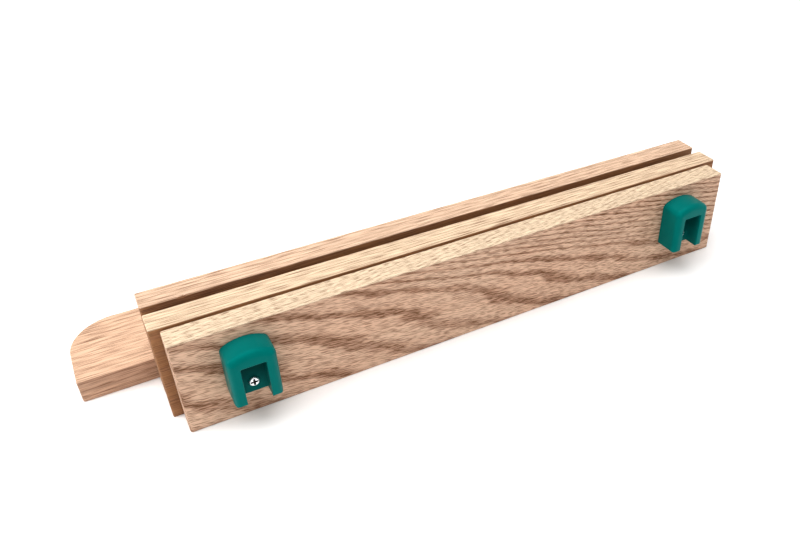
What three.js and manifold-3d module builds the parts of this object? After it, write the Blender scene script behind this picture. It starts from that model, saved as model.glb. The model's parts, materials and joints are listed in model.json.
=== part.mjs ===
// An oak brick jointing frame: three rails on edge with a flat board behind them.
// Two moulded hoods are screwed to the front rail. The slot between the middle and the
// rear rail is as wide as a mortar joint.
//
// Millimetres. X runs along the rails, Y from the hoods towards the board, Z up. The
// origin is under the middle of the whole object, on the surface that it stands on.

import * as THREE from 'three';
import { mergeVertices } from 'three/addons/utils/BufferGeometryUtils.js';
import Module from 'manifold-3d';

const wasm = await Module();
wasm.setup();

// Clearances
const SEAT_GAP = 0.1; // between two faces that meet
const HOLE_CLEARANCE = 0.3; // around a screw in its hole

// Rails: boards that stand on edge
const RAIL_THICKNESS = 19;
const FRONT_RAIL_LENGTH = 466;
const FRONT_RAIL_HEIGHT = 76;
const FRONT_RAIL_SHIFT = -1.5; // its middle, left of the middle of the longer rails
const MAIN_RAIL_LENGTH = 483;
const MAIN_RAIL_HEIGHT = 77.5;
const SHIM_GAP = 1.6; // front rail to middle rail
const JOINT_SLOT = 8.4; // middle rail to rear rail
const ARRIS = 1; // rounding along a board's faces
const END_RADIUS = 1.2; // rounding of a board's corners, seen from above
const FRONT_RAIL_END_RADIUS = 1.6;

// Board that lies flat behind the rear rail
const BOARD_LENGTH = 588;
const BOARD_WIDTH = 68;
const BOARD_THICKNESS = 19;
const BOARD_CORNER_RADIUS = 34; // the two corners away from the rails

// Spacer blocks in the slot
const SPACER_COUNT = 3;
const SPACER_WIDTH = 30;
const SPACER_HEIGHT = 44;
const SPACER_FOOT = 16; // up to their lower edge
const SPACER_END_INSET = 85; // end of a main rail to the middle of an outer block
const SPACER_SCREW_RISE = 28; // one screw of a block to the other
const SPACER_ARRIS = 0.6;

// Hoods on the front rail
const HOOD_SPACING = 373; // middle to middle
const HOOD_WIDTH = 33;
const HOOD_HEIGHT = 42;
const HOOD_DEPTH = 20; // out from the rail
const HOOD_FOOT = 25; // up to the leg tips
const HOOD_CROWN_RADIUS = 30; // the slightly arched top
const HOOD_SHOULDER_RADIUS = 5.2;
const HOOD_NOSE_RADIUS = 4.8; // rounding of the outer front edges
const LEG_TIP_RADIUS = 1.5;
const POCKET_WIDTH = 17;
const POCKET_HEIGHT = 31; // leg tips to the pocket's roof
const POCKET_BACK = 8; // thickness left behind the pocket

// Screws, with the head's radius and height, and the reach of the shank past the head's seat
const SHANK_RADIUS = 1.9;
const THREAD_RADIUS = 2.1;
const ROOT_RADIUS = 1.5;
const THREAD_PITCH = 3;
const THREAD_LENGTH = 24;
const TIP_LENGTH = 4;
const RECESS_SPAN = 4.2;
const RECESS_WIDTH = 0.9;
const RECESS_DEPTH = 1.1;
const SCREW_SIDES = 12;
const PAN_SCREW = { sunk: false, headRadius: 3.65, headHeight: 1.8, reach: 40 };
const SUNK_SCREW = { sunk: true, headRadius: 3.8, headHeight: 2.4, reach: 38 };
const HOOD_SCREW_RISE = 9; // above the leg tips
const BOARD_SCREW_END_INSET = 26.5; // end of a main rail to an outer screw
const BOARD_SCREW_INNER = 80; // middle to an inner screw

// Shim washers in the gap behind the front rail
const WASHER_RADIUS = 7;

// Smoothness
const ARRIS_STEPS = 2;
const SMALL_CORNER_STEPS = 3;
const LARGE_CORNER_STEPS = 20;
const SHOULDER_STEPS = 6;
const CROWN_STEPS = 5;
const NOSE_STEPS = 5;

// Places along Y, from the front rail's front face
const MIDDLE_RAIL_Y = RAIL_THICKNESS + SHIM_GAP;
const SLOT_Y = MIDDLE_RAIL_Y + RAIL_THICKNESS;
const REAR_RAIL_Y = SLOT_Y + JOINT_SLOT;
const BOARD_Y = REAR_RAIL_Y + RAIL_THICKNESS + SEAT_GAP;
const POCKET_FLOOR_Y = -SEAT_GAP - POCKET_BACK;
const FRONT_Y = -SEAT_GAP - HOOD_DEPTH;
const BACK_Y = BOARD_Y + BOARD_WIDTH;

const OAK_PALE = new THREE.MeshStandardMaterial({ color: 0xd9b48c, roughness: 0.6, metalness: 0 });
const OAK_TAN = new THREE.MeshStandardMaterial({ color: 0xcfa27c, roughness: 0.6, metalness: 0 });
const GREEN_PLASTIC = new THREE.MeshStandardMaterial({ color: 0x027a6a, roughness: 0.45, metalness: 0 });
const ZINC = new THREE.MeshStandardMaterial({ color: 0xd8dadc, roughness: 0.3, metalness: 1 });

// Turns a closed geometry into a solid that can be cut.
function solidOf(geometry) {
  const bare = geometry.clone();
  bare.deleteAttribute('normal');
  bare.deleteAttribute('uv');
  const merged = mergeVertices(bare, 1e-4);
  const corners = merged.index.array;
  const kept = [];
  for (let i = 0; i < corners.length; i += 3) {
    const [a, b, c] = corners.slice(i, i + 3);
    if (a !== b && b !== c && c !== a) kept.push(a, b, c);
  }
  return new wasm.Manifold(
    new wasm.Mesh({
      numProp: 3,
      vertProperties: new Float32Array(merged.getAttribute('position').array),
      triVerts: new Uint32Array(kept),
    }),
  );
}

// Turns a solid back into a geometry with flat faces.
function geometryOf(solid) {
  const mesh = solid.getMesh();
  const indexed = new THREE.BufferGeometry();
  indexed.setAttribute('position', new THREE.BufferAttribute(mesh.vertProperties, 3));
  indexed.setIndex(new THREE.BufferAttribute(mesh.triVerts, 1));
  const geometry = indexed.toNonIndexed();
  geometry.computeVertexNormals();
  return geometry;
}

function boxSolid(x0, x1, y0, y1, z0, z1) {
  const box = new THREE.BoxGeometry(x1 - x0, y1 - y0, z1 - z0);
  return solidOf(box.translate((x0 + x1) / 2, (y0 + y1) / 2, (z0 + z1) / 2));
}

// Points of an arc about (x, y), from one angle to another.
function arc(x, y, radius, from, to, steps) {
  return Array.from({ length: steps + 1 }, (_, i) => {
    const angle = from + ((to - from) * i) / steps;
    return new THREE.Vector2(x + radius * Math.cos(angle), y + radius * Math.sin(angle));
  });
}

// A slab that lies flat: a rectangle of its own radius at the near and at the far
// corners, middle of the near side at the origin, with rounded arrises above and below.
function slab(length, width, height, nearRadius, farRadius, arris) {
  const quarter = Math.PI / 2;
  const farSteps = farRadius > nearRadius ? LARGE_CORNER_STEPS : SMALL_CORNER_STEPS;
  const near = length / 2 - nearRadius;
  const far = length / 2 - farRadius;
  const outline = [
    ...arc(-near, nearRadius, nearRadius, 2 * quarter, 3 * quarter, SMALL_CORNER_STEPS),
    ...arc(near, nearRadius, nearRadius, 3 * quarter, 4 * quarter, SMALL_CORNER_STEPS),
    ...arc(far, width - farRadius, farRadius, 0, quarter, farSteps),
    ...arc(-far, width - farRadius, farRadius, quarter, 2 * quarter, farSteps),
  ];
  const body = new THREE.ExtrudeGeometry(new THREE.Shape(outline), {
    depth: height - 2 * arris,
    bevelThickness: arris,
    bevelSize: arris,
    bevelOffset: -arris,
    bevelSegments: ARRIS_STEPS,
  });
  return solidOf(body.translate(0, 0, arris));
}

// Solid of revolution about Y from (radius, y) pairs that start and end on the axis.
function turned(profile) {
  const points = profile.map(([radius, y]) => new THREE.Vector2(radius, y));
  return solidOf(new THREE.LatheGeometry(points, SCREW_SIDES));
}

// Head of a screw, with its seat at y = 0. A sunk head lies below its rim, a pan head above.
function headProfile(kind) {
  if (kind.sunk) return [[0, 0], [kind.headRadius, 0], [SHANK_RADIUS, kind.headHeight]];
  return [
    [0, -kind.headHeight],
    [kind.headRadius * 0.55, -kind.headHeight * 0.9],
    [kind.headRadius * 0.88, -kind.headHeight * 0.6],
    [kind.headRadius, -kind.headHeight * 0.25],
    [kind.headRadius, 0],
    [SHANK_RADIUS, 0],
  ];
}

// A wood screw along +Y with a cross recess. Rings stand for the thread.
function screw(kind) {
  const threadStart = kind.reach - THREAD_LENGTH;
  const threadEnd = kind.reach - TIP_LENGTH;
  const rings = Math.floor((threadEnd - threadStart) / THREAD_PITCH);
  const profile = [...headProfile(kind), [SHANK_RADIUS, threadStart - THREAD_PITCH / 2]];
  for (let i = 0; i < rings; i += 1) {
    profile.push([ROOT_RADIUS, threadStart + i * THREAD_PITCH]);
    profile.push([THREAD_RADIUS, threadStart + (i + 0.5) * THREAD_PITCH]);
  }
  profile.push([ROOT_RADIUS, threadEnd], [0, kind.reach]);
  const top = kind.sunk ? 0 : -kind.headHeight;
  const half = RECESS_SPAN / 2;
  const slot = RECESS_WIDTH / 2;
  const floor = top + RECESS_DEPTH;
  const across = boxSolid(-half, half, top - 1, floor, -slot, slot);
  const upright = boxSolid(-slot, slot, top - 1, floor, -half, half);
  return turned(profile).subtract(across.add(upright));
}

// The hole that a screw needs: its shank, and the countersink of a sunk head.
function screwHole(kind) {
  const radius = THREAD_RADIUS + HOLE_CLEARANCE;
  const end = kind.reach + HOLE_CLEARANCE;
  if (!kind.sunk) return turned([[0, -1], [radius, -1], [radius, end], [0, end]]);
  const rim = kind.headRadius + HOLE_CLEARANCE;
  return turned([[0, -1], [rim, -1], [rim, 0], [radius, kind.headHeight], [radius, end], [0, end]]);
}

// Cuts the holes of the screws that pass through a piece which is placed at (x, y, z).
function bored(solid, at, screws) {
  return screws.reduce(
    (piece, one) => piece.subtract(screwHole(one.kind).translate(one.x - at.x, one.y - at.y, one.z - at.z)),
    solid,
  );
}

// Half outline of a hood seen from the front, from the middle of its crown down to the
// foot of the right leg. The shoulder arc touches both the crown arc and the side.
function hoodOutline(foot) {
  const side = HOOD_WIDTH / 2;
  const crownCentre = HOOD_HEIGHT - HOOD_CROWN_RADIUS;
  const shoulderX = side - HOOD_SHOULDER_RADIUS;
  const reach = HOOD_CROWN_RADIUS - HOOD_SHOULDER_RADIUS;
  const shoulderZ = crownCentre + Math.sqrt(reach ** 2 - shoulderX ** 2);
  const touch = Math.atan2(shoulderZ - crownCentre, shoulderX);
  return [
    ...arc(0, crownCentre, HOOD_CROWN_RADIUS, Math.PI / 2, touch, CROWN_STEPS),
    ...arc(shoulderX, shoulderZ, HOOD_SHOULDER_RADIUS, touch, 0, SHOULDER_STEPS).slice(1),
    new THREE.Vector2(side, foot),
  ];
}

// The outer form of a hood: its outline, carried from the rail to a rounded nose.
function hoodShell() {
  const below = -HOOD_NOSE_RADIUS;
  const right = hoodOutline(below);
  const left = right.slice(1).reverse().map((p) => new THREE.Vector2(-p.x, p.y));
  const body = new THREE.ExtrudeGeometry(new THREE.Shape([...left, ...right].reverse()), {
    depth: HOOD_DEPTH,
    bevelThickness: HOOD_NOSE_RADIUS,
    bevelSize: HOOD_NOSE_RADIUS,
    bevelOffset: -HOOD_NOSE_RADIUS,
    bevelSegments: NOSE_STEPS,
  });
  body.rotateX(Math.PI / 2);
  return solidOf(body.translate(0, HOOD_NOSE_RADIUS, 0));
}

// A block with the hood's width and leg tips that are rounded at the front and outside.
function hoodEnvelope() {
  const quarter = Math.PI / 2;
  const r = LEG_TIP_RADIUS;
  const top = HOOD_HEIGHT + 1;
  const seenFromSide = new THREE.Shape([
    new THREE.Vector2(0, 0),
    ...arc(HOOD_DEPTH - r, r, r, -quarter, 0, SMALL_CORNER_STEPS),
    new THREE.Vector2(HOOD_DEPTH, top),
    new THREE.Vector2(0, top),
  ]);
  const side = HOOD_WIDTH / 2;
  const seenFromFront = new THREE.Shape([
    ...arc(-side + r, r, r, 2 * quarter, 3 * quarter, SMALL_CORNER_STEPS),
    ...arc(side - r, r, r, 3 * quarter, 4 * quarter, SMALL_CORNER_STEPS),
    new THREE.Vector2(side, top),
    new THREE.Vector2(-side, top),
  ]);
  const across = new THREE.ExtrudeGeometry(seenFromSide, { depth: HOOD_WIDTH, bevelEnabled: false });
  across.translate(0, 0, -side).rotateX(quarter).rotateZ(-quarter);
  const along = new THREE.ExtrudeGeometry(seenFromFront, { depth: HOOD_DEPTH, bevelEnabled: false });
  along.rotateX(quarter);
  return solidOf(across).intersect(solidOf(along));
}

// A hood at (0, 0, 0), against the rail at y = 0, open in front and below.
function hood() {
  const half = POCKET_WIDTH / 2;
  const pocket = boxSolid(-half, half, -HOOD_DEPTH - 1, -POCKET_BACK, -1, POCKET_HEIGHT);
  return hoodShell().intersect(hoodEnvelope()).subtract(pocket);
}

// A flat ring about Y that fills the gap behind the front rail.
function shimWasher() {
  const inner = THREAD_RADIUS + HOLE_CLEARANCE;
  const thickness = SHIM_GAP - 2 * SEAT_GAP;
  const disc = turned([[0, 0], [WASHER_RADIUS, 0], [WASHER_RADIUS, thickness], [0, thickness]]);
  return disc.subtract(turned([[0, -1], [inner, -1], [inner, thickness + 1], [0, thickness + 1]]));
}

const frame = new THREE.Group();
frame.position.y = -(FRONT_Y + BACK_Y) / 2;

function place(name, solid, material, at) {
  const mesh = new THREE.Mesh(geometryOf(solid), material);
  mesh.name = name;
  mesh.position.set(at.x, at.y, at.z);
  frame.add(mesh);
}

// Screws, by the middle of their seats
const hoodPlaces = [-1, 1].map((side) => ({
  name: side < 0 ? 'left_hook' : 'right_hook',
  x: FRONT_RAIL_SHIFT + (side * HOOD_SPACING) / 2,
  y: -SEAT_GAP,
  z: HOOD_FOOT,
}));
const hoodScrews = hoodPlaces.map((hoodPlace) => ({
  name: `${hoodPlace.name}_screw`,
  kind: PAN_SCREW,
  x: hoodPlace.x,
  y: POCKET_FLOOR_Y - SEAT_GAP,
  z: hoodPlace.z + HOOD_SCREW_RISE,
}));

const spacerRun = MAIN_RAIL_LENGTH - 2 * SPACER_END_INSET;
const spacerPlaces = Array.from({ length: SPACER_COUNT }, (_, i) => ({
  name: `slot_spacer_${i + 1}`,
  x: spacerRun * (i / (SPACER_COUNT - 1) - 0.5),
  y: SLOT_Y + SEAT_GAP,
  z: SPACER_FOOT,
}));
const spacerScrews = spacerPlaces.flatMap((spacer) =>
  ['lower', 'upper'].map((level, i) => ({
    name: `${spacer.name}_${level}_screw`,
    kind: SUNK_SCREW,
    x: spacer.x,
    y: MIDDLE_RAIL_Y,
    z: SPACER_FOOT + SPACER_HEIGHT / 2 + (i - 0.5) * SPACER_SCREW_RISE,
  })),
);

const boardScrewDistances = [BOARD_SCREW_INNER, MAIN_RAIL_LENGTH / 2 - BOARD_SCREW_END_INSET];
const boardScrews = [-1, 1].flatMap((side) =>
  boardScrewDistances.map((distance, i) => ({
    name: `board_screw_${side < 0 ? 'left' : 'right'}_${i + 1}`,
    kind: SUNK_SCREW,
    x: side * distance,
    y: REAR_RAIL_Y,
    z: BOARD_THICKNESS / 2,
  })),
);

// Boards
const frontRailAt = { x: FRONT_RAIL_SHIFT, y: 0, z: 0 };
const frontRail = slab(
  FRONT_RAIL_LENGTH,
  RAIL_THICKNESS,
  FRONT_RAIL_HEIGHT,
  FRONT_RAIL_END_RADIUS,
  FRONT_RAIL_END_RADIUS,
  ARRIS,
);
place('front_rail', bored(frontRail, frontRailAt, hoodScrews), OAK_PALE, frontRailAt);

const mainRail = slab(MAIN_RAIL_LENGTH, RAIL_THICKNESS, MAIN_RAIL_HEIGHT, END_RADIUS, END_RADIUS, ARRIS);
const middleRailAt = { x: 0, y: MIDDLE_RAIL_Y, z: 0 };
const middleRailScrews = [...hoodScrews, ...spacerScrews];
place('middle_rail', bored(mainRail, middleRailAt, middleRailScrews), OAK_TAN, middleRailAt);

const rearRailAt = { x: 0, y: REAR_RAIL_Y, z: 0 };
const rearRailScrews = [...spacerScrews, ...boardScrews];
place('rear_rail', bored(mainRail, rearRailAt, rearRailScrews), OAK_TAN, rearRailAt);

const boardAt = { x: 0, y: BOARD_Y, z: 0 };
const board = slab(BOARD_LENGTH, BOARD_WIDTH, BOARD_THICKNESS, END_RADIUS, BOARD_CORNER_RADIUS, ARRIS);
place('base_board', bored(board, boardAt, boardScrews), OAK_TAN, boardAt);

const spacerThickness = JOINT_SLOT - 2 * SEAT_GAP;
for (const spacer of spacerPlaces) {
  const block = slab(SPACER_WIDTH, spacerThickness, SPACER_HEIGHT, END_RADIUS, END_RADIUS, SPACER_ARRIS);
  place(spacer.name, bored(block, spacer, spacerScrews), OAK_TAN, spacer);
}

// Hoods, their washers and every screw
for (const hoodPlace of hoodPlaces) {
  place(hoodPlace.name, bored(hood(), hoodPlace, hoodScrews), GREEN_PLASTIC, hoodPlace);
}
for (const one of hoodScrews) {
  const washerAt = { x: one.x, y: RAIL_THICKNESS + SEAT_GAP, z: one.z };
  place(one.name.replace('hook_screw', 'shim_washer'), shimWasher(), ZINC, washerAt);
}
for (const one of [...hoodScrews, ...spacerScrews, ...boardScrews]) {
  place(one.name, screw(one.kind), ZINC, one);
}

export default frame;
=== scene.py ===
import json
import math

import bmesh
import bpy
import numpy as np
from mathutils import Matrix, Vector


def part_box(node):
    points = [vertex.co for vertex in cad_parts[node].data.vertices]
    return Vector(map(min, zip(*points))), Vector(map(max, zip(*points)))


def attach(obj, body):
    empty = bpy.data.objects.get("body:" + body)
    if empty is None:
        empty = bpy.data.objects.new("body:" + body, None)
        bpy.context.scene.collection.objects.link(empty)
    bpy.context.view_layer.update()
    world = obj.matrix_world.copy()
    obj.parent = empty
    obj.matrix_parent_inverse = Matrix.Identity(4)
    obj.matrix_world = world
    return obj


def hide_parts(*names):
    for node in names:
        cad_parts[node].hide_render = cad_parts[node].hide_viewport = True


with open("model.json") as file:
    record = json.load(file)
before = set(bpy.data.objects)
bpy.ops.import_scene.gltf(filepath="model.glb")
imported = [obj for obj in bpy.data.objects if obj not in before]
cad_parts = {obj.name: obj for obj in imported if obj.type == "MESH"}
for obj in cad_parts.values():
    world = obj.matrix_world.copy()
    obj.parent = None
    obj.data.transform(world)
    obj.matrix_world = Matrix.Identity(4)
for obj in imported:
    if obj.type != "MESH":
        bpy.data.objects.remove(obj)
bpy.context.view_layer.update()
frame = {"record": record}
slots = {part["node"]: part["material_slot"] for part in frame["record"]["subparts"]}
screws = [node for node in slots if "_screw" in node]

MM = 0.001
QUARTER = math.pi / 2

# Boards
ARRIS = 1.0 * MM  # rounding along a board's faces, where it is fullest
SPACER_ARRIS = 0.6 * MM
LEAST_EASING = 0.7  # the arris at its finest, as a share of its fullest
EASING_WAVES = ((5, 1.0), (13, 2.3), (29, 4.1))  # waves round a board, and how the seed shifts each
UPPER_SEED = 1.7  # from the lower arris's seed to the upper one's
RAIL_CORNER = 1.2 * MM
FRONT_RAIL_CORNER = 1.6 * MM
BOARD_CORNER = 34 * MM
EDGE_BAND = 0.12 * MM  # flat strip that keeps the shading of an arris off the face
OUTLINE_STEP = 2.5 * MM
CORNER_STEPS = 4  # round a corner, and one more for each millimetre of the far corners' radius
ARRIS_STEPS = 6
SIDE_STEPS = 4
NICKED = "rear_rail"
NICK_X = -213.7 * MM
NICK_DEPTH = 1.8 * MM
NICK_WIDTH = 2.6 * MM
FACES_FRONT = -0.9  # the outward direction's Y is below this on a board's front

# Hoods, as in the frame
HOOD_CROWN = 30 * MM
HOOD_SHOULDER = 5.2 * MM
HOOD_NOSE = 4.8 * MM
POCKET_HALF = 8.5 * MM
POCKET_ROOF = 31 * MM
POCKET_BACK = 8 * MM
POCKET_CORNER = 1.0 * MM
POCKET_FILLET = 0.5 * MM
POCKET_LIP = 0.7 * MM
LEG_TIP = 1.5 * MM
BACK_EDGE = 0.3 * MM
FOOT_STEPS = 7
LEG_STEPS = 12
SHOULDER_STEPS = 15
CROWN_STEPS = 12
NOSE_STEPS = 13
LIP_STEPS = 6
FILLET_STEPS = 4
DEPTH_STEPS = 5

# Screws
SHANK = 1.9 * MM  # radius, as the thread's crest and root are
CREST = 2.1 * MM
ROOT = 1.5 * MM
PITCH = 3 * MM
THREAD = 24 * MM
TIP = 4 * MM
RIDGE_HALF = 0.26  # half the ridge's width, as a share of the pitch
NECK = 0.3 * MM  # from the seat or cone to the plain shank's first row
PAN_HEIGHT = 1.8 * MM
PAN_RIM = 0.55 * MM
PAN_FLAT = 0.72  # flat part of the top, as a share of the head
PAN_EDGE = 0.12 * MM
SUNK_HEIGHT = 2.4 * MM
SUNK_RIM = 0.25 * MM
SUNK_EDGE = 0.1 * MM
SUNK_MIDDLE = 0.8  # inner row of the disc, as a share of its radius
HOLE = 2.4 * MM  # radius of a screw's hole
HOLE_END = 0.3 * MM
HOLE_START = 1.0 * MM
HOLE_STEP = 0.01 * MM  # keeps the cone's end and the hole's first row apart
RECESS_SPAN = 2.7 * MM  # middle of the cross to the end of an arm
RECESS_ARM = 0.72 * MM  # half the width of an arm
RECESS_DEPTH = 1.35 * MM
RECESS_FLOOR_SHARE = 0.7  # the cross at its floor, as a share of the cross at the head's top
RECESS_START = 0.5 * MM  # the cutter reaches this far above the head
TURN_STEPS = 48
DOME_STEPS = 12
ARM_STEPS = 9
PLAIN_ROWS = 6
THREAD_ROWS = 14  # rows in one turn of thread

# Washers
WASHER_EDGE = 0.15 * MM

# Every piece
MERGE_DISTANCE = 0.002 * MM
SHARP_TURN = math.radians(38)  # an edge that turns by more than this shows


# ---------------------------------------------------------------- meshes


def grid_faces(rows, columns, around=False):
    """Quads between neighbouring points of a grid that is numbered row by row."""
    row, column = np.meshgrid(np.arange(rows - 1), np.arange(columns - 1 + around), indexing="ij")
    beside = (column + 1) % columns
    quads = [row * columns + column, row * columns + beside]
    quads += [(row + 1) * columns + beside, (row + 1) * columns + column]
    return np.stack(quads, axis=-1).reshape(-1, 4).tolist()


def closed_piece(name, points, faces):
    """An object from points and faces, with seams and poles merged and faces turned outwards."""
    mesh = bpy.data.meshes.new(name)
    mesh.from_pydata(points.reshape(-1, 3).tolist(), [], faces)
    shape = bmesh.new()
    shape.from_mesh(mesh)
    bmesh.ops.remove_doubles(shape, verts=shape.verts, dist=MERGE_DISTANCE)
    bmesh.ops.recalc_face_normals(shape, faces=shape.faces)
    shape.to_mesh(mesh)
    shape.free()
    piece = bpy.data.objects.new(name, mesh)
    bpy.context.scene.collection.objects.link(piece)
    soften(piece)
    return piece


def soften(piece):
    """Smooth shading, broken at every edge that turns by more than SHARP_TURN."""
    mesh = piece.data
    mesh.polygons.foreach_set("use_smooth", np.ones(len(mesh.polygons), bool))
    mesh.set_sharp_from_angle(angle=SHARP_TURN)
    mesh.update()


def cut(piece, cutter):
    """Takes the cutter's shape out of the piece. Cut faces keep the cutter's material."""
    difference = piece.modifiers.new("cut", "BOOLEAN")
    difference.operation = "DIFFERENCE"
    difference.solver = "EXACT"
    difference.material_mode = "TRANSFER"
    difference.object = cutter
    bpy.context.view_layer.update()
    evaluated = piece.evaluated_get(bpy.context.evaluated_depsgraph_get())
    mesh = bpy.data.meshes.new_from_object(evaluated)
    piece.modifiers.clear()
    piece.data = mesh
    bpy.data.objects.remove(cutter)
    soften(piece)
    return piece


# ---------------------------------------------------------------- boards


def plan_outline(lo, hi, near_radius, far_radius):
    """Outline of a board seen from above: its points and the outward direction at each.

    A quarter circle at each corner, about a centre that lies the corner's radius in from both
    sides, and even steps along the straight runs between two corners.
    """
    turns = np.linspace(0, QUARTER, CORNER_STEPS + int(far_radius / MM))
    points = []
    outward = []
    corners = [
        (hi.x, lo.y, near_radius, -1),
        (hi.x, hi.y, far_radius, 0),
        (lo.x, hi.y, far_radius, 1),
        (lo.x, lo.y, near_radius, 2),
    ]
    for x, y, radius, quarter in corners:
        angle = turns + quarter * QUARTER
        direction = np.stack([np.cos(angle), np.sin(angle)], axis=-1)
        inward = np.sign([(lo.x + hi.x) / 2 - x, (lo.y + hi.y) / 2 - y])
        points.append(np.array([x, y]) + radius * inward + radius * direction)
        outward.append(direction)
    run_points = []
    run_outward = []
    for i in range(len(corners)):
        start = points[i][-1]
        end = points[(i + 1) % len(corners)][0]
        steps = int(np.linalg.norm(end - start) / OUTLINE_STEP) + 1
        share = np.linspace(0, 1, steps + 1)[1:-1, None]
        run_points += [points[i], start + share * (end - start)]
        run_outward += [outward[i], np.repeat(outward[i][-1:], len(share), axis=0)]
    return np.concatenate(run_points), np.concatenate(run_outward)


def easing(points, seed):
    """How full the arris is along an outline, between LEAST_EASING and 1: a sum of slow waves."""
    steps = np.linalg.norm(np.diff(points, axis=0, prepend=points[-1:]), axis=1)
    along = 2 * math.pi * np.cumsum(steps) / steps.sum()
    waves = sum(np.sin(count * along + shift * seed) for count, shift in EASING_WAVES)
    return 1 - (1 - LEAST_EASING) * (0.5 + waves / (2 * len(EASING_WAVES)))


def board(name, node, near_radius, far_radius, arris, seed):
    """A board of the node's size: its outline carried up a profile.

    The profile runs from the edge of the lower face round a quarter circle to the side, up the
    side and round a second quarter circle to the upper face. A point is the outline's point,
    moved in by the profile's inset and up by its height. The arris radius at that place scales
    both. The nick is a place on the front's upper edge where the arris is fuller.
    """
    lo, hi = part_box(node)
    outline, outward = plan_outline(lo, hi, near_radius, far_radius)
    lower = arris * easing(outline, seed)
    upper = arris * easing(outline, seed + UPPER_SEED)
    if node == NICKED:
        at_front = outward[:, 1] < FACES_FRONT
        near = np.exp(-(((outline[:, 0] - NICK_X) / NICK_WIDTH) ** 2))
        upper = upper + at_front * NICK_DEPTH * near
    turn = np.linspace(0, QUARTER, ARRIS_STEPS + 1)[:, None]
    band = EDGE_BAND + lower[None, :]
    top_band = EDGE_BAND + upper[None, :]
    side = np.linspace(0, 1, SIDE_STEPS + 1)[1:-1, None]
    low_z = lo.z + lower[None, :]
    high_z = hi.z - upper[None, :]
    inset = np.concatenate([
        band,
        lower * (1 - np.sin(turn)),
        0 * side * lower,
        upper * (1 - np.cos(turn)),
        top_band,
    ])
    height = np.concatenate([
        lo.z + 0 * band,
        lo.z + lower * (1 - np.cos(turn)),
        low_z + side * (high_z - low_z),
        high_z + upper * np.sin(turn),
        hi.z + 0 * top_band,
    ])
    flat = outline[None] - inset[..., None] * outward[None]
    points = np.concatenate([flat, height[..., None]], axis=-1)
    rows, columns = inset.shape
    faces = grid_faces(rows, columns, around=True)
    faces.append(list(range(columns))[::-1])
    faces.append(list(range((rows - 1) * columns, rows * columns)))
    piece = closed_piece(name, points, faces)
    return finished(piece, node)


def finished(piece, node):
    """Puts the piece in the node's place: it rides on the object, and the node's own part is hidden.
    """
    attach(piece, "root")
    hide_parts(node)
    return piece


# ---------------------------------------------------------------- screws


def axis_of(lo, hi):
    """X and Z of the line along Y through the middle of a box."""
    return (lo.x + hi.x) / 2, (lo.z + hi.z) / 2


def about_y(name, x, z, radius, y):
    """A surface about a line along Y: a circle, or a radius by angle, carried along the line.

    A point is (x + radius cos a, y, z + radius sin a), where radius and y are given for each
    row, and radius may also change with the angle a.
    """
    angle = np.linspace(0, 2 * math.pi, TURN_STEPS, endpoint=False)[None, :]
    radius = np.broadcast_to(radius, (len(y), TURN_STEPS))
    along = np.broadcast_to(np.asarray(y)[:, None], radius.shape)
    points = np.stack([x + radius * np.cos(angle), along, z + radius * np.sin(angle)], axis=-1)
    return closed_piece(name, points, grid_faces(*radius.shape, around=True))


def head_rows(is_pan, radius):
    """Radius and Y of a screw head's rows, from the middle of its top to its seat at Y = 0.

    A pan head is a flat top that a quarter ellipse joins to a short rim. A sunk head is a disc,
    a thin rim and a cone down to the shank.
    """
    if is_pan:
        turn = np.linspace(0, QUARTER, DOME_STEPS)
        dome = PAN_HEIGHT - PAN_RIM
        flat = PAN_FLAT * radius
        across = flat + (radius - flat) * np.sin(turn)
        rows = np.stack([across, -PAN_HEIGHT + dome * (1 - np.cos(turn))], axis=-1)
        rows = np.concatenate([[[0, -PAN_HEIGHT]], rows])
        seat = [[radius, -PAN_EDGE], [radius - PAN_EDGE, 0], [SHANK, 0]]
        return np.concatenate([rows, seat])
    disc = radius - SUNK_EDGE
    return np.array([
        [0, 0],
        [disc * SUNK_MIDDLE, 0],
        [disc, 0],
        [radius, SUNK_EDGE],
        [radius, SUNK_RIM],
        [SHANK, SUNK_HEIGHT],
    ])


def cross_cutter(name, x, y, z):
    """A cross with round arm ends, narrowing from above the head at Y = y to its floor.

    The outline is one arm's half circle and inner corner, turned by four quarters. The loft
    goes straight from the wide outline to the narrow one.
    """
    turn = np.linspace(-QUARTER, QUARTER, ARM_STEPS)
    end = RECESS_SPAN - RECESS_ARM
    tip = np.stack([end + RECESS_ARM * np.cos(turn), RECESS_ARM * np.sin(turn)], axis=-1)
    arm = np.concatenate([tip, [[RECESS_ARM, RECESS_ARM]]])
    quarters = np.arange(4)[:, None] * QUARTER
    cosine = np.cos(quarters)
    sine = np.sin(quarters)
    across = (cosine * arm[:, 0] - sine * arm[:, 1]).ravel()
    up = (sine * arm[:, 0] + cosine * arm[:, 1]).ravel()
    slope = (1 - RECESS_FLOOR_SHARE) / RECESS_DEPTH
    rows = [(y - RECESS_START, 1 + slope * RECESS_START), (y + RECESS_DEPTH, RECESS_FLOOR_SHARE)]
    points = np.array([
        np.stack([x + across * share, 0 * across + at, z + up * share], axis=-1)
        for at, share in rows
    ])
    columns = len(across)
    faces = grid_faces(2, columns, around=True)
    faces.append(list(range(columns))[::-1])
    faces.append(list(range(columns, 2 * columns)))
    return closed_piece(name, points, faces)


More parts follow.
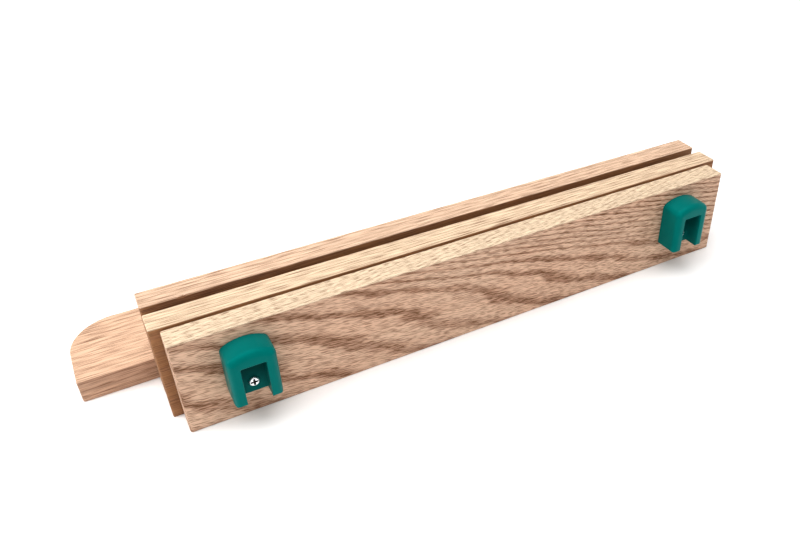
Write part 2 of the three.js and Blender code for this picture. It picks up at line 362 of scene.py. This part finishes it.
def screw(node, surface, painted_recess_shade):
    """A wood screw along Y whose thread is a ridge on the core.

    Beyond the head the radius is the core's, plus the ridge's height where the turn
    y / PITCH - a / (2 pi) is near a half. Core and ridge shrink to a point over the tip.
    """
    lo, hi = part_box(node)
    x, z = axis_of(lo, hi)
    radius = (hi.x - lo.x) / 2
    is_pan = node.endswith("hook_screw")
    seat = lo.y + PAN_HEIGHT * is_pan
    head = head_rows(is_pan, radius)
    start = hi.y - seat - THREAD
    plain = np.linspace(SUNK_HEIGHT * (not is_pan) + NECK, start - PITCH / 2, PLAIN_ROWS)
    thread = np.arange(start, hi.y - seat, PITCH / THREAD_ROWS)
    taper = np.clip((hi.y - seat - thread) / TIP, 0, 1)
    fade = np.clip((thread - start) / PITCH, 0, 1)
    core = np.concatenate([head[:, 0], 0 * plain + SHANK, ROOT * taper, [0]])
    ridge = np.concatenate([0 * head[:, 0], 0 * plain, (CREST - ROOT) * taper * fade, [0]])
    y = np.concatenate([head[:, 1], plain, thread, [hi.y - seat]])
    angle = np.linspace(0, 2 * math.pi, TURN_STEPS, endpoint=False)[None, :]
    turn = (y[:, None] / PITCH - angle / (2 * math.pi)) % 1
    height = np.clip(1 - np.abs(turn - 0.5) / RIDGE_HALF, 0, 1)
    piece = about_y(f"{node}_zinc", x, z, core[:, None] + ridge[:, None] * height, seat + y)
    piece.data.materials.append(surface)
    # the recess walls take the painted shade from the cutter's material
    cutter = cross_cutter("cross", x, lo.y, z)
    cutter.data.materials.append(painted_recess_shade)
    return finished(cut(piece, cutter), node)


def washer(node, surface):
    """A flat ring: a rectangle with eased corners, carried round a circle about Y."""
    lo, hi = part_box(node)
    outer = (hi.x - lo.x) / 2
    section = np.array([
        [HOLE + WASHER_EDGE, lo.y],
        [outer - WASHER_EDGE, lo.y],
        [outer, lo.y + WASHER_EDGE],
        [outer, hi.y - WASHER_EDGE],
        [outer - WASHER_EDGE, hi.y],
        [HOLE + WASHER_EDGE, hi.y],
        [HOLE, hi.y - WASHER_EDGE],
        [HOLE, lo.y + WASHER_EDGE],
        [HOLE + WASHER_EDGE, lo.y],
    ])
    x, z = axis_of(lo, hi)
    piece = about_y(f"{node}_zinc", x, z, section[:, :1], section[:, 1])
    piece.data.materials.append(surface)
    return finished(piece, node)


def bore(piece, node):
    """Cuts the hole of every screw that passes through the piece, with a sunk head's cone."""
    lo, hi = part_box(node)
    for screw_node in screws:
        low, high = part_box(screw_node)
        x, z = axis_of(low, high)
        inside = lo.x < x < hi.x and lo.z < z < hi.z
        if not inside or low.y > hi.y - HOLE_END or high.y < lo.y + HOLE_END:
            continue
        is_pan = screw_node.endswith("hook_screw")
        rim = HOLE if is_pan else (high.x - low.x) / 2 + HOLE_END
        cone = 0 if is_pan else SUNK_HEIGHT
        radius = np.array([0, rim, rim, HOLE, HOLE, 0])[:, None]
        start = low.y - HOLE_START
        end = high.y + HOLE_END
        y = np.array([start, start, low.y, low.y + cone + HOLE_STEP, end, end])
        cut(piece, about_y("hole", x, z, radius, y))
    return piece


# ---------------------------------------------------------------- hoods


def arc(x, z, radius, angle):
    """Points of an arc about (x, z), from its left at angle 0 to its top at a quarter."""
    return np.stack([x - radius * np.cos(angle), z + radius * np.sin(angle)], axis=-1)


def hood_curves(width, height):
    """Half of a hood seen from the front, foot to crown, left of its middle.

    Gives the outer curve with its outward direction, and the pocket's curve with the direction
    from the pocket into the wall. The outer curve is a straight side, a shoulder arc that
    touches it, and a crown arc that touches the shoulder. The pocket's is a straight wall, a
    small corner arc and a flat roof. Both have the same number of points, stretch by stretch.
    """
    foot = LEG_TIP * (1 - np.cos(np.linspace(0, QUARTER, FOOT_STEPS)))
    wall = POCKET_ROOF - POCKET_CORNER
    leg = np.concatenate([foot, np.linspace(LEG_TIP, wall, LEG_STEPS)[1:]])
    half = width / 2
    shoulder_x = half - HOOD_SHOULDER
    reach = HOOD_CROWN - HOOD_SHOULDER
    crown_z = height - HOOD_CROWN
    shoulder_z = crown_z + math.sqrt(reach**2 - shoulder_x**2)
    touch = math.atan2(shoulder_z - crown_z, shoulder_x)
    bend = np.linspace(0, touch, SHOULDER_STEPS)
    crown = np.linspace(touch, QUARTER, CROWN_STEPS)[1:]
    side = np.stack([0 * leg - half, leg], axis=-1)
    shoulder = arc(-shoulder_x, shoulder_z, HOOD_SHOULDER, bend)
    top = arc(0, crown_z, HOOD_CROWN, crown)
    facing = np.concatenate([0 * leg, bend, crown])
    outward = np.stack([-np.cos(facing), np.sin(facing)], axis=-1)
    corner = np.linspace(0, QUARTER, SHOULDER_STEPS)
    roof = np.linspace(POCKET_CORNER - POCKET_HALF, 0, CROWN_STEPS)[1:]
    pocket = np.concatenate([
        np.stack([0 * leg - POCKET_HALF, leg], axis=-1),
        arc(POCKET_CORNER - POCKET_HALF, wall, POCKET_CORNER, corner),
        np.stack([roof, 0 * roof + POCKET_ROOF], axis=-1),
    ])
    turned = np.concatenate([0 * leg, corner, 0 * roof + QUARTER])
    into_wall = np.stack([-np.cos(turned), np.sin(turned)], axis=-1)
    return np.concatenate([side, shoulder, top]), outward, pocket, into_wall


def hood(node, surface):
    """A hood: a cross-section carried up one leg, over the crown and down the other.

    At each place of the path the section runs over the back, out along the side, round the
    nose to the front face, over a small lip into the pocket and across the pocket's floor to
    the hood's middle. Its points lie between the outer curve, moved in by a share of the nose
    radius, and the pocket's curve, moved out by a share of the lip. Near the foot the sides and
    the front draw in along a quarter circle. The right half mirrors the left, and one flat
    face closes the foot.
    """
    lo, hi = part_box(node)
    width, depth, height = hi - lo
    outer, outward, pocket, into_wall = hood_curves(width, height)
    count = len(outer)
    rise = np.linspace(0, POCKET_ROOF - POCKET_FILLET, count)
    middle = np.stack([0 * rise, rise], axis=-1)
    side = HOOD_NOSE - depth
    nose = np.linspace(0, QUARTER, NOSE_STEPS)
    lip = np.linspace(0, QUARTER, LIP_STEPS)
    fillet = np.linspace(0, QUARTER, FILLET_STEPS)
    columns = [(middle, 0.0), ((middle + outer) / 2, 0.0), (outer - BACK_EDGE * outward, 0.0)]
    columns += [(outer, y) for y in np.linspace(-BACK_EDGE, side, DEPTH_STEPS)[:-1]]
    columns += [
        (outer - HOOD_NOSE * (1 - math.cos(a)) * outward, side - HOOD_NOSE * math.sin(a))
        for a in nose
    ]
    columns += [
        (pocket + POCKET_LIP * (1 - math.sin(a)) * into_wall, -depth + POCKET_LIP * (1 - math.cos(a)))
        for a in lip
    ]
    floor_edge = -POCKET_BACK - POCKET_FILLET
    columns += [(pocket, y) for y in np.linspace(POCKET_LIP - depth, floor_edge, DEPTH_STEPS)[1:-1]]
    columns += [
        (
            pocket - POCKET_FILLET * (1 - math.cos(a)) * into_wall,
            floor_edge + POCKET_FILLET * math.sin(a),
        )
        for a in fillet
    ]
    columns.append((middle, -POCKET_BACK))
    left = np.stack([
        np.stack([curve[:, 0], np.full(count, y), curve[:, 1]], axis=-1)
        for curve, y in columns
    ], axis=1)
    right = left[::-1][1:] * np.array([-1, 1, 1])
    points = np.concatenate([left, right])
    lift = np.clip(points[..., 2] / LEG_TIP, 0, 1)
    draw = LEG_TIP * (1 - np.sqrt(1 - (1 - lift) ** 2))
    half = width / 2 - draw
    points[..., 0] = np.clip(points[..., 0], -half, half)
    points[..., 1] = np.maximum(points[..., 1], draw - depth)
    points += np.array([(lo.x + hi.x) / 2, hi.y, lo.z])
    rows, across = points.shape[:2]
    faces = grid_faces(rows, across)
    faces.append(list(range(across)) + list(range((rows - 1) * across, rows * across))[::-1])
    piece = closed_piece(f"{node}_moulding", points, faces)
    piece.data.materials.append(surface)
    return finished(bore(piece, node), node)


# ---------------------------------------------------------------- materials


class Wire:
    """An output socket. Arithmetic on wires and numbers adds Math nodes."""

    def __init__(self, sheet, socket):
        self.sheet = sheet
        self.socket = socket

    def maths(self, operation, first, second=0.0):
        return self.sheet.node("ShaderNodeMath", {"operation": operation}, {0: first, 1: second})

    def __add__(self, other):
        return self.maths("ADD", self, other)

    def __sub__(self, other):
        return self.maths("SUBTRACT", self, other)

    def __rsub__(self, other):
        return self.maths("SUBTRACT", other, self)

    def __mul__(self, other):
        return self.maths("MULTIPLY", self, other)

    def __truediv__(self, other):
        return self.maths("DIVIDE", self, other)

    __radd__ = __add__
    __rmul__ = __mul__

    def fraction(self):
        return self.maths("FRACT", self)

    def sine(self):
        return self.maths("SINE", self)

    def at_least(self, value):
        return self.maths("MAXIMUM", self, value)

    def at_most(self, value):
        return self.maths("MINIMUM", self, value)

    def swing(self, width):
        """A wire from 0 to 1 as a swing about zero that is this wide."""
        return (self - 0.5) * width

    def rises(self, low, high):
        """0 below low, 1 above high, and a smooth step between them."""
        sockets = {"Value": self, "From Min": low, "From Max": high}
        return self.sheet.node("ShaderNodeMapRange", {"interpolation_type": "SMOOTHSTEP"}, sockets)

    def beside(self, output):
        """Another output of the same node."""
        return Wire(self.sheet, self.socket.node.outputs[output])


class Sheet:
    """A material's or the surround's nodes, written as expressions."""

    def __init__(self, owner):
        owner.use_nodes = True
        self.owner = owner
        self.tree = owner.node_tree
        self.tree.nodes.clear()

    def node(self, kind, settings=None, sockets=None, output=0):
        """Adds a node: first its settings, then a value or a wire for each named socket."""
        added = self.tree.nodes.new(kind)
        for name, setting in (settings or {}).items():
            setattr(added, name, setting)
        for name, value in (sockets or {}).items():
            if isinstance(value, Wire):
                self.tree.links.new(value.socket, added.inputs[name])
            else:
                added.inputs[name].default_value = value
        return Wire(self, added.outputs[output]) if added.outputs else None

    def millimetres(self, middle):
        """The place on the object in millimetres, measured from the given point."""
        place = self.node("ShaderNodeTexCoord", output="Object")
        start = [-part / MM for part in middle]
        sockets = {"Vector": place, "Location": start, "Scale": [1 / MM] * 3}
        return self.node("ShaderNodeMapping", None, sockets)

    def point(self, x, y, z):
        """A place from its X, Y and Z."""
        return self.node("ShaderNodeCombineXYZ", None, {"X": x, "Y": y, "Z": z})

    def axes(self, place):
        """The X, Y and Z of a place."""
        split = self.node("ShaderNodeSeparateXYZ", None, {"Vector": place})
        return split, split.beside("Y"), split.beside("Z")

    def noise(self, place, lengths, detail=2.0, shift=0.0):
        """Smooth noise from 0 to 1 with blobs as long along each axis as lengths says."""
        scale = [1 / length for length in lengths]
        stretch = {"Vector": place, "Scale": scale, "Location": [shift] * 3}
        stretched = self.node("ShaderNodeMapping", None, stretch)
        sockets = {"Vector": stretched, "Scale": 1.0, "Detail": detail}
        return self.node("ShaderNodeTexNoise", None, sockets)

    def mix(self, factor, first, second, blend="MIX"):
        """A colour between two colours."""
        settings = {"data_type": "RGBA", "blend_type": blend}
        return self.node("ShaderNodeMix", settings, {0: factor, 6: first, 7: second}, 2)

    def grey(self, value):
        """A value as a colour."""
        return self.node("ShaderNodeCombineColor", None, {0: value, 1: value, 2: value})

    def bump(self, height, depth):
        """A normal that is dented by a height from 0 to 1, as deep as depth in metres."""
        return self.node("ShaderNodeBump", None, {"Height": height, "Distance": depth})

    def surface(self, sockets):
        """Ends the nodes in a Principled surface and gives the material."""
        shader = self.node("ShaderNodeBsdfPrincipled", None, sockets)
        self.node("ShaderNodeOutputMaterial", None, {"Surface": shader})
        return self.owner


def colour(red, green, blue):
    return (red, green, blue, 1.0)


# Plastic: linear colours, and lengths in millimetres
TEAL_DEEP = colour(0.0, 0.134, 0.120)
TEAL_PALE = colour(0.0, 0.154, 0.138)
TEAL_SHEEN = colour(0.0, 1.0, 0.9)
# painted shade: the dark teal that the pocket's inside is mixed towards
POCKET_PAINTED_SHADE = colour(0.0, 0.036, 0.032)
TEAL_CLOUD = (14, 14, 14)
TEAL_GRAIN = (0.45, 0.45, 0.45)
TEAL_DENTS = 0.02 * MM
TEAL_SATIN = 0.34  # roughness, and what clouds, grain and the pocket add to it
CLOUD_SATIN = 0.12
GRAIN_SATIN = 0.08
POCKET_SATIN = 0.3
POCKET_SHADE_BORDER = 0.1  # half the soft border of the painted shade in the pocket
POCKET_SHADE_DEPTH = (0.6, 6)  # the painted shade comes in over this depth behind the front
POCKET_SHADE_RISE = (4, 26)  # and it gets full over this height
POCKET_SHADE_AT_FOOT = 0.45  # share of the painted shade at the foot

# Zinc: its tones at full brightness, and lengths in millimetres
ZINC_DEEP = (0.86, 0.88, 0.90)
ZINC_PALE = (0.97, 0.985, 1.0)
ZINC_CLOUD = (1.6, 1.6, 1.6)
ZINC_SCRATCH = (0.12, 1.5, 0.12)
ZINC_DENTS = 0.01 * MM
ZINC_CLOUDING = 0.16  # how far clouds and scratches swing the roughness
ZINC_SCRATCHING = 0.1

# Oak, as linear colours
FLATSAWN = colour(0.635, 0.437, 0.314)  # the front rail
REDDENING = colour(0.98, 0.90, 0.87)  # how a board's redder stretches differ from the rest
EARLYWOOD = colour(0.33, 0.168, 0.098)
PORE = colour(0.17, 0.080, 0.040)
PAINTED_SLOT_SHADE = colour(0.33, 0.162, 0.070)  # painted shade for the slot and the gap: a dark wood on both sides of the slot, the middle rail's other sides and the spacers
BOARD_EDGE = colour(0.53, 0.345, 0.238)  # and the rear rail's back
# painted light: the upper faces' lighter tones, for the light that falls on them
FRONT_TOP_PAINTED_LIGHT = colour(0.69, 0.552, 0.398)
MIDDLE_TOP_PAINTED_LIGHT = colour(0.715, 0.555, 0.392)
REAR_TOP_PAINTED_LIGHT = colour(0.69, 0.494, 0.356)
BOARD_TOP_PAINTED_LIGHT = colour(0.67, 0.452, 0.315)

# The oak's marks: lengths along, across and up a board, in millimetres
DRIFT = (60, 10, 10)
WAVER = (16, 3, 3)
STRETCH = (120, 22, 22)
STRAND = (70, 2.2, 2.2)
FIBRE = (22, 0.8, 0.8)
PORE_WIDTH = 0.4
PORE_LENGTH = 18.0
SHORT_PORE = 6.5  # on the front rail
FRONT_SLOPE = 0.14  # how fast the front rail's grain comes down
TOP_START = (0.9, 0.35)  # below the upper face, from the sides' tone to the top's painted lighter tone
BACK_START = (0.0, 1.0)  # behind the middle, from the front's tone to the back's
DENTS = 0.08 * MM

# The oak's rings, and how strongly they show
RING_DRIFT = 0.8  # how far the slow and the quick noise swing them, in rings
RING_WAVER = 0.2
LINE = (0.08, 0.12, 0.45)  # earlywood of a fine-grained board
BROAD = (0.2, 0.24, 0.6)  # earlywood of the board that is cut along its rings
FAINT_RINGS = 0.7  # earlywood in the stretches where it is faintest
RING_GAIN = 0.4  # and what it gains where it is clearest
RING_STRETCHES = (0.4, 0.6)  # stretch noise between the two
EARLY_TONE = 0.7  # how far earlywood goes to its own colour
RED_STRETCHES = (0.35, 0.7)  # stretch noise between plain and redder wood
RED_TONE = 0.5

# The oak's pores and fibres
PORE_EDGE = (0.5, 0.66)  # dash noise from no pore to a full one
PORES_IN_EARLY = 0.08  # what earlywood and the fibres add to the dash noise
PORES_IN_FIBRE = 0.1
PORE_DARK = 0.66  # how dark a pore is, and how much darker in earlywood
PORE_DARK_EARLY = 0.35
FIBRE_TONE = 0.45  # how far fibres and strands swing the brightness
STRAND_TONE = 0.35
OAK_ROUGHNESS = 0.58  # and what pores and fibres add to it
PORE_ROUGHNESS = 0.2
FIBRE_ROUGHNESS = 0.15
OAK_LEVEL = 0.8  # height of the wood, and what pores and fibres take from it or add, in DENTS
PORE_SINK = 0.7
FIBRE_RELIEF = 0.3

# The front rail's bands, in millimetres
RAIL_HALF_HEIGHT = 38
RAIL_HALF_LENGTH = 233
STEEP = 2.35
FLAT = 4.5
FAN_START = 130
FAN_END = 200
BAND = 60
CROWD = 0.03  # rings more for each millimetre from FAN_START on
SWAY = 10  # how far the steep bands' wave reaches
SWAY_MIDDLE = 15  # its middle, below the top
SWAY_TURN = 0.1  # radians of it for each millimetre
INWARD = 4.5  # a ring's thickness, from the face inwards

# The other boards' rings: millimetres along the board for one ring more
ALONG_UPRIGHT = 700
ALONG_LYING = 500
LYING_WAVE = 90  # millimetres for each radian of the lying rings' wave
LYING_SWAY = 0.35  # how far that wave reaches, in rings


def wavy_rings(x, y, z):
    """Ring number inside the front rail, which is cut nearly along the rings.

    A band is known by the place where it leaves the upper edge. From the left end to FAN_START
    the bands come down by one in STEEP, with a wave. From FAN_END on they come down by one in
    FLAT, and they fan out between the two. From FAN_START on they also lie closer together.
    """
    down = RAIL_HALF_HEIGHT - z
    along = x + RAIL_HALF_LENGTH
    steep = along - STEEP * down - SWAY * ((down - SWAY_MIDDLE) * SWAY_TURN).sine()
    spread = (FLAT - STEEP) / (FAN_END - FAN_START)
    fan = FAN_START + (steep - FAN_START) / (1 + spread * down)
    leaves = steep.at_most(fan).at_least(along - FLAT * down)
    return leaves / BAND + CROWD * (leaves - FAN_START).at_least(0) - y / INWARD


def straight_rings(step, lean):
    """Ring number inside a board whose rings stand nearly upright: fine lines along it."""
    return lambda x, y, z: y / step + z * lean + x / ALONG_UPRIGHT


def lying_rings(step, lean):
    """Ring number inside a board whose lines show on its upper face."""

    def rings(x, y, z):
        wave = (x / LYING_WAVE).sine() * LYING_SWAY
        return y / step + z * lean + x / ALONG_LYING + wave

    return rings


def oak(
    node, rings, sides, top, back=None,
    pore_length=PORE_LENGTH, slope=0.0, edge=LINE, strength=(0.5, 0.5), shift=0.0,
):
    """Planed oak: growth rings, porous earlywood, pores and fibres.

    Sides, top and back are the latewood's colours there, and the top's lighter colour is painted
    light. Without one of its own, the back has the sides' colour. Strength tells how strongly
    the rings show on the sides and on the top.
    Edge gives where in a ring the earlywood is full, where it starts to fade and where it ends.
    Pores are dashes along the grain, which crowd together in earlywood. On the sides the grain
    comes down towards +X by the slope.
    """
    lo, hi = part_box(node)
    sheet = Sheet(bpy.data.materials.new(f"oak_{node}"))
    place = sheet.millimetres((lo + hi) / 2)
    x, y, z = sheet.axes(place)
    height = (hi.z - lo.z) / 2 / MM
    upper = z.rises(*(height - below for below in TOP_START))
    grain = sheet.point(x, y, z + x * (slope * (1 - upper)))
    drift = sheet.noise(place, DRIFT, 2.0, shift)
    waver = sheet.noise(place, WAVER, 1.0, shift + 5)
    stretch = sheet.noise(place, STRETCH, 2.0, shift + 3)
    dash = sheet.noise(grain, (pore_length, PORE_WIDTH, PORE_WIDTH), 0.0, shift)
    fibre = sheet.noise(grain, FIBRE, 2.0, shift + 9)
    strand = sheet.noise(grain, STRAND, 2.0, shift + 7)

    phase = (rings(x, y, z) + drift.swing(RING_DRIFT) + waver.swing(RING_WAVER)).fraction()
    early = phase.rises(0.0, edge[0]) * (1 - phase.rises(edge[1], edge[2]))
    early = early * (strength[0] + upper * (strength[1] - strength[0]))
    early = early * (FAINT_RINGS + stretch.rises(*RING_STRETCHES) * RING_GAIN)
    pore = (dash + early * PORES_IN_EARLY + fibre.swing(PORES_IN_FIBRE)).rises(*PORE_EDGE)

    plain = sheet.mix(y.rises(*BACK_START), sides, back or sides)
    red = sheet.mix(1.0, plain, REDDENING, "MULTIPLY")
    tone = sheet.mix(stretch.rises(*RED_STRETCHES) * RED_TONE, plain, red)
    # painted light: the upper face goes over to the lighter top colour
    tone = sheet.mix(upper, tone, top)
    tone = sheet.mix(early * EARLY_TONE, tone, EARLYWOOD)
    shade = sheet.grey(1 + fibre.swing(FIBRE_TONE) + strand.swing(STRAND_TONE))
    tone = sheet.mix(1.0, tone, shade, "MULTIPLY")
    tone = sheet.mix(pore * (PORE_DARK + early * PORE_DARK_EARLY), tone, PORE)
    return sheet.surface({
        "Base Color": tone,
        "Roughness": OAK_ROUGHNESS + pore * PORE_ROUGHNESS + fibre.swing(FIBRE_ROUGHNESS),
        "Normal": sheet.bump(OAK_LEVEL - pore * PORE_SINK + fibre.swing(FIBRE_RELIEF), DENTS),
        "Specular IOR Level": 0.3,
    })


def teal_plastic(node):
    """Satin moulded plastic with a fine grain and uneven gloss; duller in the pocket, and darker
    there with painted shade that is lightest at the foot.
    """
    lo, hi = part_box(node)
    sheet = Sheet(bpy.data.materials.new(f"teal_{node}"))
    place = sheet.millimetres(((lo.x + hi.x) / 2, lo.y, lo.z))
    x, depth, z = sheet.axes(place)
    cloud = sheet.noise(place, TEAL_CLOUD)
    grain = sheet.noise(place, TEAL_GRAIN)
    half = POCKET_HALF / MM
    roof = POCKET_ROOF / MM
    # painted shade: a mask for the pocket's inside, behind the lip and under the roof, weaker at the
    # foot
    across = x.rises(-half - POCKET_SHADE_BORDER, POCKET_SHADE_BORDER - half)
    across = across * (1 - x.rises(half - POCKET_SHADE_BORDER, half + POCKET_SHADE_BORDER))
    under = 1 - z.rises(roof - POCKET_SHADE_BORDER, roof + POCKET_SHADE_BORDER)
    pocket = across * under * depth.rises(*POCKET_SHADE_DEPTH)
    pocket = pocket * (POCKET_SHADE_AT_FOOT + (1 - POCKET_SHADE_AT_FOOT) * z.rises(*POCKET_SHADE_RISE))
    tone = sheet.mix(cloud, TEAL_DEEP, TEAL_PALE)
    satin = TEAL_SATIN + cloud.swing(CLOUD_SATIN) + grain.swing(GRAIN_SATIN)
    return sheet.surface({
        "Base Color": sheet.mix(pocket, tone, POCKET_PAINTED_SHADE),
        "Roughness": satin + pocket * POCKET_SATIN,
        "Normal": sheet.bump(grain, TEAL_DENTS),
        "Specular IOR Level": 0.14,
        "Specular Tint": TEAL_SHEEN,
    })


def zinc(name, brightness, roughness):
    """Bright zinc plate: metal with faint clouds and fine scratches."""
    sheet = Sheet(bpy.data.materials.new(name))
    place = sheet.millimetres((0, 0, 0))
    cloud = sheet.noise(place, ZINC_CLOUD, 3.0)
    scratch = sheet.noise(place, ZINC_SCRATCH, 1.0)
    deep = colour(*(brightness * part for part in ZINC_DEEP))
    pale = colour(*(brightness * part for part in ZINC_PALE))
    return sheet.surface({
        "Base Color": sheet.mix(cloud, deep, pale),
        "Roughness": roughness + cloud.swing(ZINC_CLOUDING) + scratch.swing(ZINC_SCRATCHING),
        "Normal": sheet.bump(scratch, ZINC_DENTS),
        "Metallic": 1.0,
    })


# ---------------------------------------------------------------- the object

wood = {
    "front_rail": oak(
        "front_rail", wavy_rings, FLATSAWN, FRONT_TOP_PAINTED_LIGHT,
        pore_length=SHORT_PORE, slope=FRONT_SLOPE, edge=BROAD, strength=(0.95, 0.22),
    ),
    # painted shade from the slot and the gap on all of the middle rail's sides
    "middle_rail": oak(
        "middle_rail", straight_rings(step=3.4, lean=0.07), PAINTED_SLOT_SHADE, MIDDLE_TOP_PAINTED_LIGHT, shift=11,
    ),
    # painted slot shade on the rear rail's front, its own wood at the back
    "rear_rail": oak(
        "rear_rail", straight_rings(step=4.1, lean=-0.06), PAINTED_SLOT_SHADE, REAR_TOP_PAINTED_LIGHT, BOARD_EDGE, shift=23,
    ),
    "base_board": oak(
        "base_board", lying_rings(step=4.6, lean=0.16), BOARD_EDGE, BOARD_TOP_PAINTED_LIGHT,
        strength=(0.5, 0.3), shift=37,
    ),
}
# Corner radii at the front and at the back, and the arris's seed
corners = {
    "front_rail": (FRONT_RAIL_CORNER, FRONT_RAIL_CORNER, 0.4),
    "middle_rail": (RAIL_CORNER, RAIL_CORNER, 1.9),
    "rear_rail": (RAIL_CORNER, RAIL_CORNER, 3.1),
    "base_board": (RAIL_CORNER, BOARD_CORNER, 4.6),
}
for node, (near, far, seed) in corners.items():
    piece = board(f"{node}_oak", node, near, far, ARRIS, seed)
    piece.data.materials.append(wood[node])
    bore(piece, node)

spacers = sorted(node for node in slots if node.startswith("slot_spacer") and node not in screws)
for number, node in enumerate(spacers):
    piece = board(f"{node}_oak", node, RAIL_CORNER, RAIL_CORNER, SPACER_ARRIS, number)
    rings = straight_rings(step=3.2, lean=0.1)
    # the spacers, down in the slot, wear the painted shade all over
    piece.data.materials.append(oak(node, rings, PAINTED_SLOT_SHADE, PAINTED_SLOT_SHADE, shift=50 + 9 * number))
    bore(piece, node)

for node in ("left_hook", "right_hook"):
    hood(node, teal_plastic(node))

bright = zinc("zinc_bright", brightness=1.0, roughness=0.42)
dull = zinc("zinc_dull", brightness=0.72, roughness=0.42)
# painted shade: near-black zinc on the walls of the cross recess
painted_recess_shade = zinc("zinc_painted_recess_shade", brightness=0.05, roughness=0.60)
for node in slots:
    if node.endswith("shim_washer"):
        washer(node, dull)
    elif node in screws:
        screw(node, bright, painted_recess_shade)


# ---------------------------------------------------------------- floor, light and camera

FLOOR_HALF = 4.0
FLOOR_DROP = 0.05 * MM
FLOOR_DEEP = colour(0.91, 0.91, 0.91)
FLOOR_PALE = colour(0.93, 0.93, 0.93)
FLOOR_CLOUD = (60, 60, 60)
KEY_POWER = 184.0  # watts
KEY_SIZE = 4.0
KEY_PLACE = (-0.35, -0.25, 3.35)
SKY_LOW = 1.22
SKY_HIGH = 0.30
SKY_FADE = (0.1, 0.7)  # how far up the direction points where the fade starts and ends
SIDE_POWER = 7.0
SIDE_SIZE = 0.55
SIDE_PLACE = (-1.2, 0.4, 0.75)

LENS = 35.106  # millimetres
SHIFT = (-0.0937, 0.0092)
CAMERA_PLACE = (-0.24794, -0.47321, 0.39565)
CAMERA_TURN = math.radians(29.45)  # to the right of straight ahead along Y
CAMERA_TILT = math.radians(35.479)  # below the horizon
GAMMA = 0.88


def floor():
    """A wide pale floor under the object."""
    half = FLOOR_HALF
    points = [(-half, -half), (half, -half), (half, half), (-half, half)]
    mesh = bpy.data.meshes.new("floor")
    mesh.from_pydata([(x, y, -FLOOR_DROP) for x, y in points], [], [(0, 1, 2, 3)])
    plane = bpy.data.objects.new("floor", mesh)
    bpy.context.scene.collection.objects.link(plane)
    sheet = Sheet(bpy.data.materials.new("floor_paper"))
    cloud = sheet.noise(sheet.millimetres((0, 0, 0)), FLOOR_CLOUD)
    tone = sheet.mix(cloud, FLOOR_DEEP, FLOOR_PALE)
    paper = sheet.surface({"Base Color": tone, "Roughness": 0.9, "Specular IOR Level": 0.1})
    mesh.materials.append(paper)


def area_light(name, place, power, size):
    """A square soft light aimed at the middle of the object."""
    light = bpy.data.lights.new(name, "AREA")
    light.energy = power
    light.size = size
    lamp = bpy.data.objects.new(name, light)
    lamp.location = place
    lamp.rotation_euler = (-Vector(place)).to_track_quat("-Z", "Y").to_euler()
    bpy.context.scene.collection.objects.link(lamp)


def sky():
    """A white surround near the horizon, which fades upwards to a dim one."""
    world = bpy.data.worlds.new("surround")
    bpy.context.scene.world = world
    sheet = Sheet(world)
    direction = sheet.node("ShaderNodeTexCoord", output="Generated")
    rise = sheet.axes(direction)[2].rises(*SKY_FADE)
    sockets = {"Strength": SKY_LOW - rise * (SKY_LOW - SKY_HIGH)}
    background = sheet.node("ShaderNodeBackground", None, sockets)
    sheet.node("ShaderNodeOutputWorld", None, {"Surface": background})


def camera():
    """A camera whose three axes follow from its turn and tilt."""
    turn, tilt = CAMERA_TURN, CAMERA_TILT
    level = math.cos(tilt)
    ahead = Vector((level * math.sin(turn), level * math.cos(turn), -math.sin(tilt)))
    right = Vector((math.cos(turn), -math.sin(turn), 0))
    up = right.cross(ahead)
    lens = bpy.data.cameras.new("camera")
    lens.lens = LENS
    lens.shift_x, lens.shift_y = SHIFT
    lens.clip_start = 10 * MM
    eye = bpy.data.objects.new("camera", lens)
    turned = Matrix((right, up, -ahead)).transposed()
    eye.matrix_world = Matrix.Translation(CAMERA_PLACE) @ turned.to_4x4()
    bpy.context.scene.collection.objects.link(eye)
    bpy.context.scene.camera = eye


floor()
sky()
area_light("key", KEY_PLACE, KEY_POWER, KEY_SIZE)
area_light("side", SIDE_PLACE, SIDE_POWER, SIDE_SIZE)
camera()
bpy.context.scene.view_settings.view_transform = "Standard"
bpy.context.scene.view_settings.gamma = GAMMA
